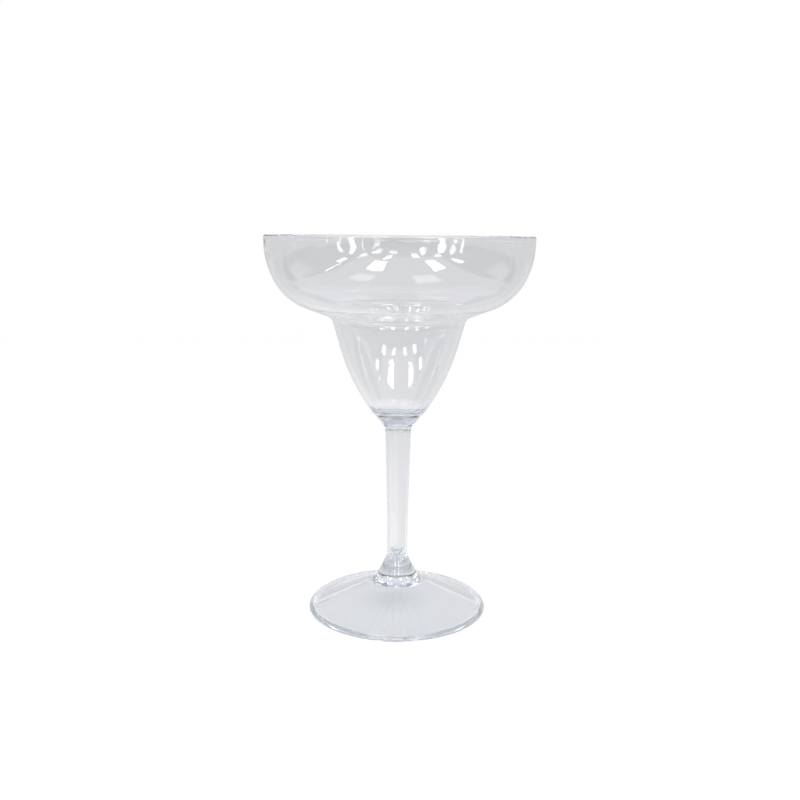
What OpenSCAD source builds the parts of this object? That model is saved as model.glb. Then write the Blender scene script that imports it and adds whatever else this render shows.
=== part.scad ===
// Margarita glass in clear plastic: a wide saucer bowl over a tapered cup, carried by a hollow
// stem on a coned foot. Three mouldings stand on the Z axis, spigoted into one another and held
// by two bond rings. The foot's contact ring lies on z = 0. All sizes are in millimetres.

/* [Bowl] */
// Height of the bowl from its joint face up to the rim
bowl_h = 83; // [78:0.5:92]
// Diameter across the rim
rim_d = 118; // [108:1:130]
// Thickness of the bowl's wall
bowl_wall = 2.1; // [1.5:0.1:2.8]
// Radius on both edges of the lip
lip_r = 0.9; // [0.3:0.1:1.2]
// Height of the shoulder corner, where the upright side starts to curve in
shoulder_h = 71.9; // [68:0.1:75]
// Radius of the curve at the shoulder
shoulder_r = 37; // [28:1:40]
// Diameter at the heel corner, where the side turns into the ledge
heel_d = 101.4; // [95:0.2:106]
// Height of the heel corner
heel_h = 55.1; // [53:0.1:58]
// Radius of the curve at the heel
heel_r = 25.5; // [16:0.5:28]
// Diameter at the crease, where the ledge meets the cup
crease_d = 59.8; // [55:0.2:64]
// Height of the crease corner
crease_h = 47.3; // [45:0.1:50]
// Radius of the crease on the outside
crease_r = 5.3; // [3:0.1:8]
// Diameter at the belly corner, where the cup starts to close in
belly_d = 44.1; // [40:0.1:48]
// Height of the belly corner
belly_h = 19.75; // [18:0.05:23]
// Radius of the curve at the belly
belly_r = 90; // [50:1:100]
// Diameter at the base corner, where the cup meets its solid base
base_d = 24.3; // [22:0.1:26]
// Height of the base corner
base_h = 5.25; // [4.5:0.05:6]
// Radius of the curve at the base corner
base_r = 11.3; // [4:0.1:14]
// Diameter of the flat joint face under the bowl
joint_d = 15.4; // [15:0.1:17]
// Thickness of the solid base above the joint face
floor_t = 6; // [5:0.1:8]
// Radius where the cup's inside meets its floor
floor_r = 7; // [2:0.1:10]
// Length of the spigot that enters the stem
bowl_spigot_len = 2.5; // [1.5:0.1:4]

/* [Stem] */
// Length of the stem between its two shoulder faces
stem_len = 62.9; // [50:0.1:80]
// Diameter of the collar under the bowl
collar_d = 14.7; // [13:0.1:15]
// Height of the collar's flare
collar_h = 2.95; // [2:0.05:5]
// Radius that blends the collar into the stem
collar_blend_r = 8; // [3:0.5:12]
// Diameter of the stem just below the collar
stem_top_d = 11.58; // [10.5:0.02:12.5]
// Diameter of the stem at the foot
stem_foot_d = 9.3; // [8.6:0.02:9.6]
// Length of the straight run at the foot, below the taper
stem_straight_len = 14; // [8:0.5:24]
// Diameter of the bore at the collar
bore_top_d = 5.7; // [5:0.05:6.4]
// Diameter of the bore at its round end
bore_end_d = 4.7; // [3.8:0.05:5]
// Solid length between the bore's round end and the lower shoulder
bore_web = 1.05; // [0.8:0.05:4]
// Diameter of the spigot that enters the foot
stem_spigot_d = 6.4; // [5.6:0.1:7]
// Length of the spigot that enters the foot
stem_spigot_len = 8.5; // [6:0.1:9]

/* [Foot] */
// Diameter of the foot
foot_d = 81.5; // [74:0.5:90]
// Height of the foot from the table to its joint face
foot_h = 23.8; // [22:0.1:28]
// Diameter of the boss at the joint face
boss_d = 9.75; // [9.6:0.05:11]
// Radius on the edge of the boss
boss_edge_r = 0.25; // [0.1:0.05:0.5]
// Diameter at the toe corner, where the boss meets the disc
toe_d = 20.2; // [18:0.1:24]
// Height of the toe corner
toe_h = 13.4; // [12.5:0.1:15]
// Radius of the curve at the toe
toe_r = 10; // [4:0.5:14]
// Thickness of the coned disc
disc_wall = 2; // [1.6:0.1:2.6]
// Width of the flat brim round the disc
brim_w = 3.1; // [2:0.1:5]
// Thickness of the brim
brim_t = 1.9; // [1.6:0.1:2.4]
// Radius on the edges of the brim
brim_edge_r = 0.8; // [0.3:0.05:0.8]
// Radius that blends the disc into the brim
brim_blend_r = 2; // [0.5:0.1:4]
// Radius at the crown of the recess underneath
recess_r = 25; // [5:1:35]
// Thickness left between the socket and the recess
socket_web = 3; // [2:0.1:3.5]
// Width of the trimmed gate on the edge of the brim
gate_w = 8.7; // [4:0.1:12]
// How far the trimmed gate stands proud of the brim
gate_proud = 0.5; // [0.2:0.1:1]
// Direction of the gate, as an angle from the X axis
gate_angle = 268; // [0:1:359]

/* [Joints] */
// Radial clearance round each spigot
spigot_gap = 0.1; // [0.05:0.01:0.2]
// Clearance at the blind end of the foot's socket
socket_end_gap = 0.3; // [0.1:0.05:0.6]
// Thickness of each bond ring
bond_t = 0.15; // [0.05:0.01:0.3]
// Width of the bonded ring on the collar
collar_bond_w = 2.65; // [1.5:0.05:3]
// How far the bond squeezes out past the stem
bond_bead = 0.12; // [0.02:0.01:0.2]

/* [Hidden] */

// Largest angle between neighbouring points of a curve in a profile
arc_step = 4;
// Facets of a whole turn about the axis
turn_fn = 128;
// Lengths below this count as none
tiny = 0.000001;

clear_plastic = [0.87, 0.90, 0.92, 0.5];
set_bond = [0.93, 0.94, 0.94, 0.6];

// Levels of the joint faces, from the foot up
stem_z = foot_h + bond_t;
collar_z = stem_z + stem_len;
bowl_z = collar_z + bond_t;
rim_z = bowl_z + bowl_h;
floor_z = bowl_z + floor_t;

// Radii of the spigots and the holes they enter
bowl_spigot_r = bore_top_d / 2 - spigot_gap;
socket_r = stem_spigot_d / 2 + spigot_gap;
socket_z = stem_z - stem_spigot_len - socket_end_gap;
recess_z = socket_z - socket_web;

// Outside of the bowl, from the joint face up to the rim
bowl_outside = [
    [joint_d / 2, bowl_z],
    [base_d / 2, bowl_z + base_h],
    [belly_d / 2, bowl_z + belly_h],
    [crease_d / 2, bowl_z + crease_h],
    [heel_d / 2, bowl_z + heel_h],
    [rim_d / 2, bowl_z + shoulder_h],
    [rim_d / 2, rim_z]
];
bowl_outside_r = [0, base_r, belly_r, crease_r, heel_r, shoulder_r, lip_r];

// Top of the foot's disc, from the brim in to the toe
brim_corner = [foot_d / 2 - brim_w, brim_t];
toe_corner = [toe_d / 2, toe_h];

// Vector of length 1 along v
function unit(v) = v / norm(v);

// Vector v turned a quarter turn to the left
function left_of(v) = [-v.y, v.x];

// Vector v turned by angle a
function turned(v, a) = [v.x * cos(a) - v.y * sin(a), v.x * sin(a) + v.y * cos(a)];

// Point at height z on the line through a and b
function at_height(a, b, z) = a + (b - a) * (z - a.y) / (b.y - a.y);

// Direction of the edge from corner i of the path p to the next
function edge(p, i) = unit(p[i + 1] - p[i]);

// Turn at corner i of the path p: 1 to the left, -1 to the right
function turn_side(p, i) = sign(cross(edge(p, i - 1), edge(p, i)));

// Corner i of the path p, moved to the left by d with both its edges
function moved(p, i, d) =
    let (
        last = len(p) - 1,
        before = left_of(edge(p, max(i, 1) - 1)),
        after = left_of(edge(p, min(i, last - 1)))
    )
    p[i] + d * (before + after) / (1 + before * after);

// Half of the angle between the two edges at corner i
function half_angle(p, i) = acos(-edge(p, i - 1) * edge(p, i)) / 2;

// Wanted distance from corner i to the ends of its fillet; the path's two ends have none
function setback(p, r, i) =
    i == 0 || i == len(p) - 1 ? 0 : r[i] / tan(half_angle(p, i));

// Share of that distance that fits on edge i beside the fillet at its other end
function edge_share(p, r, i) =
    norm(p[i + 1] - p[i]) / max(setback(p, r, i) + setback(p, r, i + 1), tiny);

// Points along the fillet at corner i
function fillet(p, r, i) =
    let (
        half = half_angle(p, i),
        share = min(1, edge_share(p, r, i - 1), edge_share(p, r, i)),
        back = setback(p, r, i) * share,
        start = -left_of(edge(p, i - 1)) * turn_side(p, i) * back * tan(half),
        centre = p[i] - back * edge(p, i - 1) - start,
        sweep = (180 - 2 * half) * turn_side(p, i),
        steps = max(1, ceil(abs(sweep) / arc_step))
    )
    back < tiny ? [p[i]] : [for (k = [0 : steps]) centre + turned(start, sweep * k / steps)];

// Path p with a fillet of radius r[i] at each corner i
function rounded(p, r) = [
    for (i = [0 : len(p) - 1])
        each i == 0 || i == len(p) - 1 ? [p[i]] : fillet(p, r, i)
];

// Solid of revolution about Z from half a section that starts and ends on the axis
module turned_solid(corners, radii) {
    rotate_extrude($fn = turn_fn)
        polygon(rounded(corners, radii));
}

// Flat ring from radius r_in to r_out that stands on height z
module ring(r_in, r_out, z, t) {
    rotate_extrude($fn = turn_fn)
        translate([r_in, z])
            square([r_out - r_in, t]);
}

// Saucer, cup, solid base and spigot in one wall
module bowl() {
    rim = len(bowl_outside) - 1;
    // The inside follows the outside at the wall's thickness, down to the belly
    belly = 2;
    inside = [for (i = [rim : -1 : belly]) moved(bowl_outside, i, bowl_wall)];
    inside_r = [
        for (i = [rim : -1 : belly])
            i == rim ? lip_r : bowl_outside_r[i] - turn_side(bowl_outside, i) * bowl_wall
    ];
    floor_edge = at_height(
        moved(bowl_outside, belly, bowl_wall),
        moved(bowl_outside, belly - 1, bowl_wall),
        floor_z);
    spigot_z = bowl_z - bowl_spigot_len;
    spigot = [[0, spigot_z], [bowl_spigot_r, spigot_z], [bowl_spigot_r, bowl_z]];

    color(clear_plastic)
        turned_solid(
            concat(spigot, bowl_outside, inside, [floor_edge, [0, floor_z]]),
            concat([0, 0, 0], bowl_outside_r, inside_r, [floor_r, 0]));
}

// Tapered tube with a collar above, a blind bore and a spigot below
module stem() {
    spigot_z = stem_z - stem_spigot_len;
    spigot_r = stem_spigot_d / 2;
    bore_z = stem_z + bore_web;
    outside = [
        [stem_foot_d / 2, stem_z],
        [stem_foot_d / 2, stem_z + stem_straight_len],
        [stem_top_d / 2, collar_z - collar_h],
        [collar_d / 2, collar_z]
    ];

    color(clear_plastic)
        turned_solid(
            concat(
                [[0, spigot_z], [spigot_r, spigot_z], [spigot_r, stem_z]],
                outside,
                [[bore_top_d / 2, collar_z], [bore_end_d / 2, bore_z], [0, bore_z]]),
            [0, 0, 0, 0, 0, collar_blend_r, 0, 0, bore_end_d / 2, 0]);
}

// Boss with its socket, coned disc, flat brim and recess underneath
module foot() {
    foot_r = foot_d / 2;
    // The recess runs parallel to the disc's top, at the disc's thickness
    under = [for (i = [0, 1]) moved([brim_corner, toe_corner], i, disc_wall)];
    recess = [[0, recess_z], at_height(under[0], under[1], recess_z), at_height(under[0], under[1], 0)];
    outside = [
        [foot_r, 0],
        [foot_r, brim_t],
        brim_corner,
        toe_corner,
        [boss_d / 2, foot_h]
    ];
    socket = [[socket_r, foot_h], [socket_r, socket_z], [0, socket_z]];

    color(clear_plastic)
        union() {
            turned_solid(
                concat(recess, outside, socket),
                [0, recess_r, 0, brim_edge_r, brim_edge_r, brim_blend_r, toe_r, boss_edge_r, 0, 0, 0]);
            rotate(gate_angle)
                translate([foot_r - brim_w, -gate_w / 2, brim_edge_r / 2])
                    cube([brim_w + gate_proud, gate_w, brim_t - brim_edge_r]);
        }
}

// Bond between the bowl's joint face and the stem's collar
module upper_bond() {
    color(set_bond)
        ring(collar_d / 2 - collar_bond_w, collar_d / 2 + bond_bead, collar_z, bond_t);
}

// Bond between the stem's lower shoulder and the foot's boss
module lower_bond() {
    color(set_bond)
        ring(socket_r, stem_foot_d / 2 + bond_bead, foot_h, bond_t);
}

bowl();
stem();
foot();
upper_bond();
lower_bond();
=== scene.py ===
import math

import bpy
import numpy as np
from mathutils import Matrix, Vector


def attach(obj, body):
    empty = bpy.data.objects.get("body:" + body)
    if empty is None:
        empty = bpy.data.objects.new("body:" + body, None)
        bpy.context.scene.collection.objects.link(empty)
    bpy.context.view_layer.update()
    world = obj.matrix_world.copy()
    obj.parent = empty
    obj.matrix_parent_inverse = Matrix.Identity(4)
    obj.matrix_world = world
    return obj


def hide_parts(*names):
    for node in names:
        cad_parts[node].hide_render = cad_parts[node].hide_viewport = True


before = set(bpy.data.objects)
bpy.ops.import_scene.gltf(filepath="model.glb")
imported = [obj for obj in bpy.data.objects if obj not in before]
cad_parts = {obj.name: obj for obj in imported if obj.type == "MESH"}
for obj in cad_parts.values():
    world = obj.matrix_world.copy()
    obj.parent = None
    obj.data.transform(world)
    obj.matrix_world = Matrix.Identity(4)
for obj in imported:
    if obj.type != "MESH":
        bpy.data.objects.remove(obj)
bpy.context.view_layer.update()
mm = 0.001
scene = bpy.context.scene
print("frame loaded:", sorted(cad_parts))

# the camera comes first; place in millimetres, angles in degrees
shot = dict(
    place=(0.7, -404.7, 171.5),
    pitch=79.58,  # 90 looks level
    roll=0.5,
    lens=41.13,
    sensor=36.0,
)


def aimCamera(shot):
    data = bpy.data.cameras.new("shotCamera")
    data.lens = shot["lens"]
    data.sensor_width = shot["sensor"]
    camera = bpy.data.objects.new("shotCamera", data)
    scene.collection.objects.link(camera)
    place = Matrix.Translation([v * mm for v in shot["place"]])
    pitch = Matrix.Rotation(math.radians(shot["pitch"]), 4, "X")
    roll = Matrix.Rotation(math.radians(shot["roll"]), 4, "Z")
    camera.matrix_world = place @ pitch @ roll
    scene.camera = camera


aimCamera(shot)
print("camera set")


# profiles are arrays of (radius, height) in millimetres; the solid lies to the left of the path

def leftSides(path):
    # for each stretch of the path, the vector of length 1 to its left
    ways = np.diff(path, axis=0)
    ways = ways / np.hypot(*ways.T)[:, None]
    return np.stack([-ways[:, 1], ways[:, 0]], 1)


def roundedPath(corners, radii, sag=0.002, widest=0.26):
    # the arc at a corner starts radius / tan(half the corner's angle) before it and touches both edges;
    # its steps leave the true arc by no more than the sag, and turn by no more than the widest
    corners = np.array(corners, float)
    lefts = leftSides(corners)
    ways = np.stack([lefts[:, 1], -lefts[:, 0]], 1)
    turns = np.sign((lefts[:-1] * ways[1:]).sum(1))
    halves = np.arccos(np.clip(-(ways[:-1] * ways[1:]).sum(1), -1, 1)) / 2
    backs = np.zeros(len(corners))
    backs[1:-1] = np.array(radii, float)[1:-1] / np.tan(halves)
    shares = np.hypot(*np.diff(corners, axis=0).T) / np.maximum(backs[:-1] + backs[1:], 1e-9)
    backs[1:-1] *= np.minimum(1, np.minimum(shares[:-1], shares[1:]))
    stretches = [corners[:1]]
    rounds = zip(corners[1:-1], ways, lefts, turns, halves, backs[1:-1])
    for corner, way, left, turn, half, back in rounds:
        sweep = (math.pi - 2 * half) * turn
        radius = back * math.tan(half)
        step = min(widest, 2 * math.acos(1 - sag / max(radius, 2 * sag)))
        steps = math.ceil(abs(sweep) / step) if back > 1e-6 else 0
        spoke = -left * turn * radius
        a = np.linspace(0, sweep, steps + 1)[:, None]
        quarter = np.array([-spoke[1], spoke[0]])
        stretches.append(corner - back * way - spoke + np.cos(a) * spoke + np.sin(a) * quarter)
    stretches.append(corners[-1:])
    return np.concatenate(stretches)


def walledCorner(corners, k, wall):
    # corner k moved to the left, so that both its edges move by the wall's thickness
    lefts = leftSides(np.array(corners, float))
    before, after = lefts[max(k, 1) - 1], lefts[min(k, len(lefts) - 1)]
    return np.array(corners[k], float) + wall * (before + after) / (1 + before @ after)


def atHeight(a, b, z):
    # the point at height z on the line through a and b
    return a + (b - a) * (z - a[1]) / (b[1] - a[1])


def stepped(path, longest):
    # the same path with extra points, none further apart than longest
    along = np.concatenate([[0], np.cumsum(np.hypot(*np.diff(path, axis=0).T))])
    keep = np.concatenate([[True], np.diff(along) > 1e-6])
    path, along = path[keep], along[keep]
    counts = np.maximum(1, np.ceil(np.diff(along) / longest)).astype(int)
    at = np.repeat(np.arange(len(counts)), counts)
    first = np.repeat(np.cumsum(counts) - counts, counts)
    part = (np.arange(counts.sum()) - first) / counts[at]
    points = path[at] + part[:, None] * (path[at + 1] - path[at])
    return np.concatenate([points, path[-1:]])


def turnAngles(count, marks=(), spread=(0.0,)):
    # even angles round the axis in degrees, with close ones beside each mark
    even = np.arange(count) * 360 / count
    near = (np.array(marks, float)[:, None] + np.array(spread)[None]).ravel()
    return np.unique(np.round(np.concatenate([even, near]) % 360, 3))


def newPiece(name, points, faces):
    mesh = bpy.data.meshes.new(name)
    mesh.from_pydata((points * mm).tolist(), [], faces)
    mesh.polygons.foreach_set("use_smooth", np.ones(len(faces), bool))
    mesh.update()
    piece = bpy.data.objects.new(name, mesh)
    scene.collection.objects.link(piece)
    print(f"{name}: {len(points)} points, {len(faces)} faces")
    return piece


def turnedPiece(name, path, angles, swell=None):
    # point (i, j) = (radius i, height i) turned by angle j about Z, moved out along the normal by swell
    # a path that starts off the axis is a closed loop, and one that starts on it also ends there
    loop = path[0, 0] > 1e-9
    line = path[:-1] if loop else path[1:-1]
    around = np.concatenate([path[-2:-1], path[:-1], path[:1]]) if loop else path
    ways = around[2:] - around[:-2]
    ways = ways / np.hypot(*ways.T)[:, None]
    turn = np.radians(angles)[None]
    r, z, outR, outZ = line[:, :1], line[:, 1:], ways[:, 1:], -ways[:, :1]
    lift = swell(r, z, turn, outR, outZ) if swell else 0 * r * turn
    radius, height = r + lift * outR, z + lift * outZ
    points = np.stack([radius * np.cos(turn), radius * np.sin(turn), height], 2).reshape(-1, 3)
    rows, columns = len(line), turn.shape[1]
    i, j = np.mgrid[: rows if loop else rows - 1, :columns]
    below, above, k = i * columns, (i + 1) % rows * columns, (j + 1) % columns
    faces = np.stack([below + j, below + k, above + k, above + j], 2).reshape(-1, 4).tolist()
    if not loop:
        points = np.concatenate([points, [[0, 0, path[0, 1]], [0, 0, path[-1, 1]]]])
        j = np.arange(columns)
        k, low, last = (j + 1) % columns, np.full(columns, rows * columns), (rows - 1) * columns
        faces += np.stack([low, k, j], 1).tolist() + np.stack([low + 1, last + j, last + k], 1).tolist()
    return newPiece(name, points, faces)


def smoothStep(low, high, v):
    # t squared times (3 - 2 t), where t goes from 0 to 1 between low and high
    t = np.clip((v - low) / (high - low), 0, 1)
    return t * t * (3 - 2 * t)


def dress(piece, node, material):
    piece.data.materials.append(material)
    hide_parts(node)
    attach(piece, "root")


# shader maths

class Wire:
    # one output socket of a node tree; sums on wires add Math nodes
    def __init__(self, tree, socket=None):
        self.tree, self.socket = tree, socket

    def make(self, kind, settings=None, inputs=None):
        node = self.tree.nodes.new("ShaderNode" + kind)
        for name, value in (settings or {}).items():
            setattr(node, name, value)
        for name, value in (inputs or {}).items():
            if isinstance(value, Wire):
                self.tree.links.new(value.socket, node.inputs[name])
            else:
                node.inputs[name].default_value = value
        return Wire(self.tree, node.outputs[0] if node.outputs else None)

    def output(self, name):
        return Wire(self.tree, self.socket.node.outputs[name])

    def sum(self, operation, a, b=0.0, c=0.0):
        return self.make("Math", {"operation": operation}, {0: a, 1: b, 2: c})

    def mixed(self, factor, a, b):
        return self.make("Mix", {"data_type": "RGBA"}, {0: factor, 6: a, 7: b}).output(2)

    def noise(self, place, scale, detail):
        return self.make("TexNoise", None, {"Vector": place, "Scale": scale, "Detail": detail})

    def smooth(self, value, low, high):
        return self.make("MapRange", {"interpolation_type": "SMOOTHSTEP"}, {0: value, 1: low, 2: high})

    def between(self, value, low, high, soft):
        # 1 from low to high and 0 outside, with soft ends
        above = self.smooth(value, low - soft, low + soft)
        return above * (1 - self.smooth(value, high - soft, high + soft))

    def __abs__(self):
        return self.sum("ABSOLUTE", self)

    def __add__(self, other):
        return self.sum("ADD", self, other)

    def __sub__(self, other):
        return self.sum("SUBTRACT", self, other)

    def __rsub__(self, other):
        return self.sum("SUBTRACT", other, self)

    def __mul__(self, other):
        return self.sum("MULTIPLY", self, other)

    __radd__, __rmul__ = __add__, __mul__


def newMaterial(name):
    material = bpy.data.materials.new(name)
    material.use_nodes = True
    material.node_tree.nodes.clear()
    return material, Wire(material.node_tree)


# clear moulded plastic: a blue-grey cast that deepens with length, cloudy wear, a fine texture
plastic = dict(
    index=1.585,
    tintClear=(1.0, 1.0, 1.0, 1),
    tintDeep=(0.985, 0.988, 0.99, 1),
    depthTint=(0.05, 0.2, 0.4, 1),
    depthDensity=4.0,  # per metre
    cloudScale=38.0,  # per metre
    cloudDetail=3.0,
    gloss=0.008,
    wear=0.03,
    grainScale=420.0,
    grainDetail=2.0,
    grainDepth=0.0015,  # millimetres
)

# where bond wets both faces of a joint nothing bends: height, half height, radius, half width
films = [
    (86.925, 0.09, 6.06, 1.36),
    (85.7, 1.15, 2.8, 0.07),
    (19.5, 4.455, 2.35, 2.36),
]


def wetted(tree, place):
    # 1 inside any of the films, else 0
    x = tree.make("SeparateXYZ", None, {0: place})
    y, z = x.output("Y"), x.output("Z")
    r = tree.sum("SQRT", x * x + y * y)
    inside = 0.0
    for height, rise, radius, reach in films:
        nearZ = tree.sum("COMPARE", z, height * mm, rise * mm)
        nearR = tree.sum("COMPARE", r, radius * mm, reach * mm)
        inside = tree.sum("MAXIMUM", nearZ * nearR, inside)
    return inside


def glassy(tree, place, colour, roughness, index, bump=None):
    # a clear face, and a face that bends nothing inside the films
    clear = {"Base Color": colour, "Transmission Weight": 1.0}
    free = {**clear, "Roughness": roughness, "IOR": index}
    if bump:
        free["Normal"] = bump
    joined = {**clear, "Roughness": 0.0, "IOR": 1.0}
    faces = [tree.make("BsdfPrincipled", None, inputs) for inputs in (free, joined)]
    return tree.make("MixShader", None, {0: wetted(tree, place), 1: faces[0], 2: faces[1]})


def clearPlastic(plastic):
    material, tree = newMaterial("clearPlastic")
    place = tree.make("TexCoord").output("Object")
    cloud = tree.noise(place, plastic["cloudScale"], plastic["cloudDetail"])
    grain = tree.noise(place, plastic["grainScale"], plastic["grainDetail"])
    relief = {"Height": grain, "Distance": plastic["grainDepth"] * mm, "Strength": 1.0}
    bump = tree.make("Bump", None, relief)
    colour = tree.mixed(cloud, plastic["tintClear"], plastic["tintDeep"])
    roughness = plastic["gloss"] + plastic["wear"] * cloud * cloud
    shade = glassy(tree, place, colour, roughness, plastic["index"], bump)
    cast = {"Color": plastic["depthTint"], "Density": plastic["depthDensity"]}
    depth = tree.make("VolumeAbsorption", None, cast)
    tree.make("OutputMaterial", None, {"Surface": shade, "Volume": depth})
    return material


# set bond: nearly clear, with a milky bloom and tiny bubbles
bond = dict(
    index=1.5,
    tintClear=(0.97, 0.975, 0.98, 1),
    tintMilky=(0.9, 0.91, 0.92, 1),
    bubbleScale=900.0,
    bubbleDetail=2.0,
    gloss=0.08,
    wear=0.2,
)


def setBond(bond):
    material, tree = newMaterial("setBond")
    place = tree.make("TexCoord").output("Object")
    bubbles = tree.noise(place, bond["bubbleScale"], bond["bubbleDetail"])
    colour = tree.mixed(bubbles, bond["tintClear"], bond["tintMilky"])
    roughness = bond["gloss"] + bond["wear"] * bubbles * bubbles
    shade = glassy(tree, place, colour, roughness, bond["index"])
    tree.make("OutputMaterial", None, {"Surface": shade})
    return material


clearMaterial = clearPlastic(plastic)
bondMaterial = setBond(bond)
print("materials made")

# bowl: saucer, cup, solid base and spigot in one wall
bowl = dict(
    jointFace=87.0,
    corners=[  # radius, height above the joint face
        (7.7, 0), (12.15, 5.25), (22.05, 19.75), (29.9, 47.3), (50.7, 55.1), (59, 71.9), (59, 83),
    ],
    radii=[0.15, 11.3, 90, 5.3, 25.5, 37, 0.9],
    wall=2.1,
    floor=6.0,
    floorRadius=7.0,
    spigotRadius=2.75,
    spigotLength=2.5,
    edge=0.15,
    longest=1.2,
    around=288,
    waves=[  # turns, pitch per millimetre, size, phase
        (38, 0.78, 0.012, 0.4), (23, -0.5, 0.012, 2.1), (9, 0.21, 0.016, 1.0),
    ],
    wavePhase=1.7,  # of the inside, further on
    waveLeast=0.04,
    waveZ=(157, 165),  # they grow from the least between these heights
    lipZ=(170, 167),  # and fade here
    waveRadius=(8, 16),  # none on the base
)


def bowlWaves(r, z, turn, outR, outZ):
    # sum of sine waves that run slantwise round the wall, stronger near the rim
    inside = bowl["wavePhase"] * (outR < 0)
    rise = bowl["waveLeast"] + (1 - bowl["waveLeast"]) * smoothStep(*bowl["waveZ"], z)
    lift = sum(size * (np.sin(turns * turn + pitch * z + phase + inside) - 1)
               for turns, pitch, size, phase in bowl["waves"])
    return lift * rise * smoothStep(*bowl["lipZ"], z) * smoothStep(*bowl["waveRadius"], r)


def makeBowl(bowl):
    # up the outside from the spigot, over the rim, and down the same path moved in by the wall
    joint = bowl["jointFace"]
    corners = np.array(bowl["corners"]) + [0, joint]
    inside = [walledCorner(corners, k, bowl["wall"]) for k in range(len(corners) - 1, 0, -1)]
    signs = [1, 1, -1, 1]  # the crease turns the other way
    arcs = zip(bowl["radii"][5:1:-1], signs)
    insideRadii = [bowl["radii"][-1]] + [r - s * bowl["wall"] for r, s in arcs]
    floor = atHeight(*inside[-2:], joint + bowl["floor"])
    spigotZ, s = joint - bowl["spigotLength"], bowl["spigotRadius"]
    path = [(0, spigotZ), (s, spigotZ), (s, joint), *corners, *inside[:-1], floor, (0, floor[1])]
    radii = [0, bowl["edge"], bowl["edge"], *bowl["radii"], *insideRadii, bowl["floorRadius"], 0]
    profile = stepped(roundedPath(path, radii), bowl["longest"])
    return turnedPiece("clearBowl", profile, turnAngles(bowl["around"]), bowlWaves)


dress(makeBowl(bowl), "bowl", clearMaterial)

# stem: a tapered tube with a collar, a blind round-ended bore and a spigot
stem = dict(
    low=23.95,
    high=86.85,
    collarRadius=7.35,
    collarHeight=2.95,
    collarBlend=8.0,
    topRadius=5.79,
    footRadius=4.65,
    straight=14.0,
    straightBlend=400.0,
    boreTop=2.85,
    boreEnd=2.35,
    boreWeb=1.0,
    boreNose=4.6,  # height of its long round end
    noseSteps=24,
    spigotRadius=3.2,
    spigotLength=8.5,
    edge=0.15,
    longest=1.5,
    around=128,
)


def makeStem(stem):
    # up the outside from the spigot, over the collar and down the bore
    low, high, edge = stem["low"], stem["high"], stem["edge"]
    spigotZ, boreZ = low - stem["spigotLength"], low + stem["boreWeb"]
    # the bore ends in a quarter of an ellipse from its wall down to the axis
    a = np.linspace(0, np.pi / 2, stem["noseSteps"])
    nose = np.stack([stem["boreEnd"] * np.cos(a), boreZ + stem["boreNose"] * (1 - np.sin(a))], 1)
    nose[-1, 0] = 0
    path = [
        (0, spigotZ), (stem["spigotRadius"], spigotZ), (stem["spigotRadius"], low),
        (stem["footRadius"], low), (stem["footRadius"], low + stem["straight"]),
        (stem["topRadius"], high - stem["collarHeight"]), (stem["collarRadius"], high),
        (stem["boreTop"], high), *nose,
    ]
    radii = [0, edge, edge, edge, stem["straightBlend"], stem["collarBlend"], edge, edge, *0 * a]
    profile = stepped(roundedPath(path, radii), stem["longest"])
    return turnedPiece("hollowStem", profile, turnAngles(stem["around"]))


dress(makeStem(stem), "stem", clearMaterial)

# foot: boss with a socket, coned disc that thins outwards, beaded brim and a recess underneath
foot = dict(
    radius=40.75,
    height=23.8,
    bossRadius=4.875,
    toe=(10.1, 13.4),
    toeBlend=10.0,
    walls=(1.1, 2.0),  # at the brim and at the toe
    beadSide=0.6,  # upright part of its edge
    beadTop=(38.95, 2.25),
    beadFoot=(37.2, 1.2),  # where it meets the disc
    beadRadii=(0.6, 0.3, 0.5, 0.9, 0.5),  # from the recess over the bead to the disc
    crown=25.0,
    socketRadius=3.3,
    socketZ=15.15,
    recessZ=12.15,
    edge=0.2,
    longest=1.0,
    around=200,
    seamAngle=187,  # parting line, degrees
    seamStart=(7, 9),  # radii where it grows and fades
    seamEnd=(37.6, 36.6),
    seamFace=0.2,  # only where the surface faces up by this much
    seamProud=0.07,
    seamWidth=0.16,
    gateAngle=268,
    gateWidth=8.7,
    gateFade=0.4,
    gateProud=0.5,
    gateFace=(0.55, 0.95),  # it grows where the edge faces out by this much
    gateDepth=1.0,
    closeAngles=(-1.8, -1.1, -0.65, -0.35, -0.15, 0, 0.15, 0.35, 0.65, 1.1, 1.8),
)


def footMarks(r, z, turn, outR, outZ):
    # the parting line is a fine ridge, proud * exp(-(distance / width) squared), on the upper side
    seam = turn - math.radians(foot["seamAngle"])
    ridge = np.exp(-(r * np.sin(seam) / foot["seamWidth"]) ** 2) * (np.cos(seam) > 0)
    upper = smoothStep(*foot["seamStart"], r) * (outZ > foot["seamFace"])
    ridge = ridge * upper * smoothStep(*foot["seamEnd"], r)
    # the trimmed gate is a flat swelling of the brim's edge that stays above the table
    gate = turn - math.radians(foot["gateAngle"])
    across, half = np.abs(foot["radius"] * np.sin(gate)), foot["gateWidth"] / 2
    wide = smoothStep(half, half - foot["gateFade"], across) * (np.cos(gate) > 0)
    edge = smoothStep(*foot["gateFace"], outR) * (r > foot["radius"] - foot["gateDepth"])
    table = np.where(outZ < 0, z / np.maximum(-outZ, 0.01), foot["gateProud"])
    return foot["seamProud"] * ridge + np.minimum(foot["gateProud"] * wide * edge, table)


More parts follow.
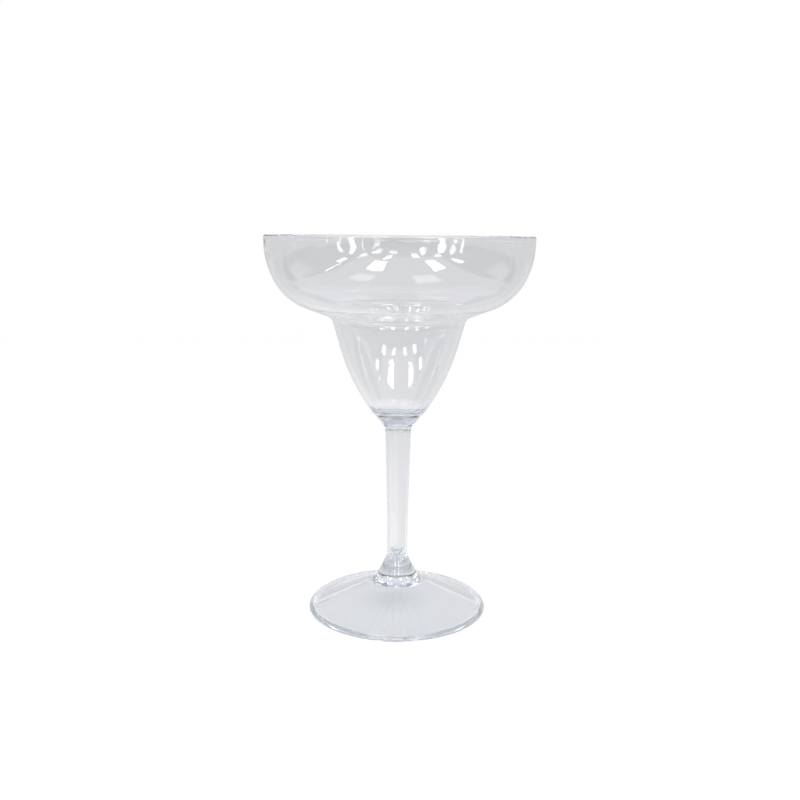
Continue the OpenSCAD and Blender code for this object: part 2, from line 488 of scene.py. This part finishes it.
def makeFoot(foot):
    # out under the disc from the recess, over the bead, and in along the disc to the boss and its socket
    disc = [foot["beadFoot"], foot["toe"]]
    under = [walledCorner(disc, k, wall) for k, wall in enumerate(foot["walls"])]
    path = [
        (0, foot["recessZ"]), atHeight(*under, foot["recessZ"]), atHeight(*under, 0),
        (foot["radius"], 0), (foot["radius"], foot["beadSide"]), foot["beadTop"], *disc,
        (foot["bossRadius"], foot["height"]), (foot["socketRadius"], foot["height"]),
        (foot["socketRadius"], foot["socketZ"]), (0, foot["socketZ"]),
    ]
    edge = foot["edge"]
    radii = [0, foot["crown"], *foot["beadRadii"], foot["toeBlend"], edge, edge, edge, 0]
    profile = stepped(roundedPath(path, radii), foot["longest"])
    gate = math.degrees(foot["gateWidth"] / 2 / foot["radius"])
    marks = [foot["seamAngle"], foot["gateAngle"] - gate, foot["gateAngle"] + gate]
    angles = turnAngles(foot["around"], marks, foot["closeAngles"])
    return turnedPiece("conedFoot", profile, angles, footMarks)


dress(makeFoot(foot), "foot", clearMaterial)

# bonds: thin rings between the shoulder faces, with a rounded bead outside
bonds = dict(
    air=0.015,  # left free above and below
    roundOut=0.9,  # share of half its height
    roundIn=0.5,
    sag=0.0005,
    longest=0.6,
    around=128,
    upper=dict(node="upper_bond", low=86.85, high=87.0, inner=4.7, outer=7.47),
    lower=dict(node="lower_bond", low=23.8, high=23.95, inner=3.3, outer=4.77),
)


def makeBond(name, ring):
    # an oblong section with round corners, as a closed loop
    low, high = ring["low"] + bonds["air"], ring["high"] - bonds["air"]
    half = (high - low) / 2
    middle = (ring["inner"] + ring["outer"]) / 2
    path = [(middle, low), (ring["outer"], low), (ring["outer"], high), (ring["inner"], high),
            (ring["inner"], low), (middle, low)]
    out, back = half * bonds["roundOut"], half * bonds["roundIn"]
    outline = roundedPath(path, [0, out, out, back, back, 0], bonds["sag"])
    return turnedPiece(name, stepped(outline, bonds["longest"]), turnAngles(bonds["around"]))


for name in ("upper", "lower"):
    piece = makeBond(name + "BondRing", bonds[name])
    dress(piece, bonds[name]["node"], bondMaterial)
print("pieces made")

# stage: a round sheet of pale paper, white to the eye, with painted shadow near the foot where the glass
# shows it
stage = dict(
    radius=1.2,
    around=96,
    drop=0.00003,
    paper=(0.86, 0.86, 0.86, 1),
    eyeWhite=0.86,
    eyeGlow=1.04,
    clearWhite=0.66,
    shade=(0.68, 0.715, 0.745, 1),  # what the glass shows of the paper: a painted shadow below the boss
    shadePlace=(-0.0025, 0.006, 0),
    shadeEdge=(0.0, 0.021),
    under=(0.83, 0.865, 0.89, 1),  # painted shade below the foot, as the glass shows the paper
    footEdge=(0.04, 0.055),
    beside=[(0.98, 0.98, 0.975, 1), (0.82, 0.82, 0.825, 1)],  # painted light to the left of it and painted shadow to the right
    besideEdge=(-0.02, 0.03),
    far=(0.7, 0.705, 0.71, 1),  # and away from it
    farEdge=(0.0, 0.5),
)


def lightPaths(tree):
    # 1 for what the eye sees straight, through the glass and in a mirror image
    rays = tree.make("LightPath")
    return (rays.output(f"Is {kind} Ray") for kind in ("Camera", "Transmission", "Glossy"))


def makeFloor(stage):
    a = np.linspace(0, 2 * np.pi, stage["around"], endpoint=False)
    rim = np.stack([np.cos(a), np.sin(a), 0 * a], 1) * stage["radius"] - [0, 0, stage["drop"]]
    mesh = bpy.data.meshes.new("floor")
    mesh.from_pydata(rim.tolist(), [], [list(range(len(a)))])
    material, tree = newMaterial("palePaper")
    place = tree.make("TexCoord").output("Object")
    across = tree.make("SeparateXYZ", None, {0: place})
    away, fromPaintedShadow = (
        tree.make("VectorMath", {"operation": "DISTANCE"}, {0: place, 1: spot}).output("Value")
        for spot in ((0, 0, 0), stage["shadePlace"])
    )
    # painted shadow: a dark spot below the boss, inside painted shade below the foot
    under = tree.mixed(tree.smooth(fromPaintedShadow, *stage["shadeEdge"]), stage["shade"], stage["under"])
    # painted light on the left of the glass and painted shadow on its right
    beside = tree.mixed(tree.smooth(across, *stage["besideEdge"]), *stage["beside"])
    # the painted shade below the foot gives way to the painted light and shadow at its sides
    close = tree.mixed(tree.smooth(away, *stage["footEdge"]), under, beside)
    shown = tree.mixed(tree.smooth(away, *stage["farEdge"]), close, stage["far"])
    eye, clear, gloss = lightPaths(tree)
    sheet = tree.make("BsdfDiffuse", None, {"Color": stage["paper"]})
    glow = tree.make("Emission", None, {
        "Color": tree.mixed(eye, shown, (1, 1, 1, 1)),
        "Strength": 1 + eye * (stage["eyeGlow"] - 1),
    })
    white = eye * stage["eyeWhite"] + tree.sum("MAXIMUM", clear, gloss) * stage["clearWhite"]
    shade = tree.make("MixShader", None, {0: white, 1: sheet, 2: glow})
    tree.make("OutputMaterial", None, {"Surface": shade})
    mesh.materials.append(material)
    floor = bpy.data.objects.new("floor", mesh)
    scene.collection.objects.link(floor)


makeFloor(stage)

# room: a light ceiling with rows of panels over a long room with dark walls, metres from the glass
room = dict(
    height=2.0,
    halfWidth=2.45,
    front=3.6,
    back=5.0,
    soft=0.06,
    ceiling=(0.82, 0.81, 0.86, 1),
    wall=(0.09, 0.11, 0.145, 1),
    sweep=(0.47, 0.2),  # a paler stretch of wall behind the glass: half width / distance, softness
    sweepTone=(0.42, 0.44, 0.465, 1),
    sweepMirror=(1.8, 1.8, 1.8, 1),  # the same stretch in a first mirror image
    windowTone=(0.72, 0.73, 0.74, 1),  # pale panes, to both sides behind
    windowSide=(0.56, 0.86),
    windowRise=(0.3, 0.52),
    windowSoft=0.05,
    windowBehind=(0.1, 0.3),
    paper=(0.67, 0.68, 0.687, 1),
    paperTop=(0.08, 0.1, 0.06, 0.02),  # level, rise towards the back and the sides, softness
    panels=[  # x, y, width, length, glow
        (0.9, -1.95, 0.66, 1.1, 7), (-1.45, -1.78, 0.56, 1.1, 7),
        (0.9, -0.45, 0.6, 0.7, 1.4), (-0.62, -0.45, 0.6, 0.8, 1.4),
        (0.72, -3.23, 0.42, 0.66, 7), (-0.9, -3.27, 0.4, 0.7, 7),
        (2.28, -3.07, 0.5, 0.7, 7), (-2.45, -3.07, 0.5, 0.7, 7),
        (2.92, -1.5, 0.45, 0.65, 7), (-3.02, -1.55, 0.5, 0.8, 7),
        (2.5, -0.5, 0.1, 1.2, 6),
        (0.6, -5.5, 0.8, 1.8, 4), (2.0, -5.0, 0.6, 1.2, 5),
    ],
    stripsAway=6.0,
    stripsZ=0.16,
    strips=[  # azimuth, low, high and width in degrees, glow
        (58, 2, 16, 3, 8), (47, 1, 17, 3.4, 10), (35.5, 1, 16, 1.0, 7), (22, 1, 13, 6, 3.5),
        (-22.5, 10, 22, 4, 7), (-40, 1, 18, 6, 9), (-53, 5, 19, 4, 5), (-62.5, 1, 18, 1.5, 8),
    ],
)


def hangLamp(name, place, size, glow, way):
    # radiance = power / (pi * area)
    lamp = bpy.data.lights.new(name, "AREA")
    lamp.shape = "RECTANGLE"
    lamp.size, lamp.size_y = size
    lamp.energy = glow * math.pi * size[0] * size[1]
    holder = bpy.data.objects.new(name, lamp)
    scene.collection.objects.link(holder)
    holder.location = place
    holder.rotation_euler = Vector(way).to_track_quat("-Z", "Y").to_euler()
    holder.visible_camera = False


def lightRoom(room):
    for k, (x, y, width, length, glow) in enumerate(room["panels"]):
        hangLamp(f"panel{k}", (x, y, room["height"]), (width, length), glow, (0, 0, -1))
    for k, (azimuth, low, high, wide, glow) in enumerate(room["strips"]):
        a, e = math.radians(azimuth), math.radians((low + high) / 2)
        away = np.array([math.sin(a) * math.cos(e), -math.cos(a) * math.cos(e), math.sin(e)])
        size = [room["stripsAway"] * math.radians(v) for v in (wide, high - low)]
        place = away * room["stripsAway"] + [0, 0, room["stripsZ"]]
        hangLamp(f"strip{k}", place, size, glow, -away)
    world = bpy.data.worlds.new("room")
    scene.world = world
    world.use_nodes = True
    world.node_tree.nodes.clear()
    tree = Wire(world.node_tree)
    x = tree.make("SeparateXYZ", None, {0: tree.make("TexCoord")})
    y, z = x.output("Y"), x.output("Z")
    # a way up reaches the ceiling inside its edges where side / rise < edge / height
    soft, height = room["soft"], room["height"]
    sides = [(room["halfWidth"], abs(x)), (room["front"], -1 * y), (room["back"], y)]
    inside = [tree.smooth(edge * z - height * side, -soft, soft) for edge, side in sides]
    over = inside[0] * inside[1] * inside[2]
    level, rise, sideRise, blur = room["paperTop"]
    under = 1 - tree.smooth(z - rise * y - sideRise * abs(x), level - blur, level + blur)
    eye, clear, gloss = lightPaths(tree)
    wide, soft = room["sweep"]
    sweep = tree.mixed(gloss * (1 - clear), room["sweepTone"], room["sweepMirror"])
    wall = tree.mixed(tree.smooth(wide * y - abs(x), -soft, soft), room["wall"], sweep)
    blur = room["windowSoft"]
    pane = tree.between(abs(x), *room["windowSide"], blur) * tree.between(z, *room["windowRise"], blur)
    wall = tree.mixed(pane * tree.smooth(y, *room["windowBehind"]), wall, room["windowTone"])
    colour = tree.mixed(under, tree.mixed(over, wall, room["ceiling"]), room["paper"])
    shown = tree.mixed(eye, colour, (1, 1, 1, 1))
    back = tree.make("Background", None, {"Color": shown, "Strength": 1.0})
    tree.make("OutputWorld", None, {"Surface": back})


lightRoom(room)
scene.view_settings.view_transform = "Standard"
bounces = 96  # light runs a long way inside the walls
scene.cycles.max_bounces = scene.cycles.glossy_bounces = scene.cycles.transmission_bounces = bounces
print("room lit")
